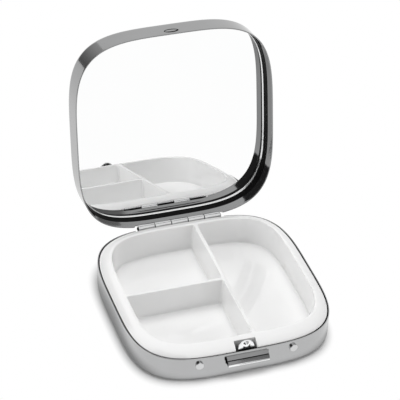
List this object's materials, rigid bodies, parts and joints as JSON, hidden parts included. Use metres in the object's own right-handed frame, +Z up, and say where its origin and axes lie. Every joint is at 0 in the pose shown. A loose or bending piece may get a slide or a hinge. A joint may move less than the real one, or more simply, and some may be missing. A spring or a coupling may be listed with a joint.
{
  "type": "pillbox",
  "caption": "Square polished metal pocket pill box with a white divided tray, a framed mirror in the hinged lid and a sprung push-button catch",
  "frame": {"origin": "middle of the flat underside of the base", "axes": "+Z up out of the open tray, +Y towards the hinge, the push button faces -Y, +X to the right seen from the button; the lid stands open at rest"},
  "size_m": [0.055, 0.0753, 0.0615],
  "materials": {
    "polished_metal": "polished, nickel-plated pressed steel",
    "frame_metal": "polished, darker, with a bright lip",
    "spring_steel": "plain drawn steel",
    "white_plastic": "moulded, semi-gloss",
    "mirror": "silvered glass",
    "foam_tape": "double-sided foam tape"
  },
  "bodies": {
    "base": {"base_shell": "polished_metal", "pill_tray": "white_plastic", "hinge_base_leaf": "polished_metal", "hinge_pin": "spring_steel", "latch_spring": "spring_steel", "latch_rivet_left": "polished_metal", "latch_rivet_right": "polished_metal"},
    "latch": {"push_button": "polished_metal", "latch_plate": "polished_metal"},
    "lid": {"lid_shell": "polished_metal", "hinge_lid_leaf": "polished_metal", "mirror_frame": "frame_metal", "mirror_glass": "mirror", "mirror_pad": "foam_tape"}
  },
  "joints": [
    {"name": "lid_hinge", "type": "hinge", "parent": "base", "child": "lid", "pos_m": [0, 0.02756, 0.0075], "axis": [1, 0, 0], "range_deg": [0, 101.2]},
    {"name": "button_press", "type": "slide", "parent": "base", "child": "latch", "axis": [0, 1, 0], "range_m": [0, 0.0009], "stiffness_N_per_m": 2000, "deforming": ["latch_spring"]}
  ]
}
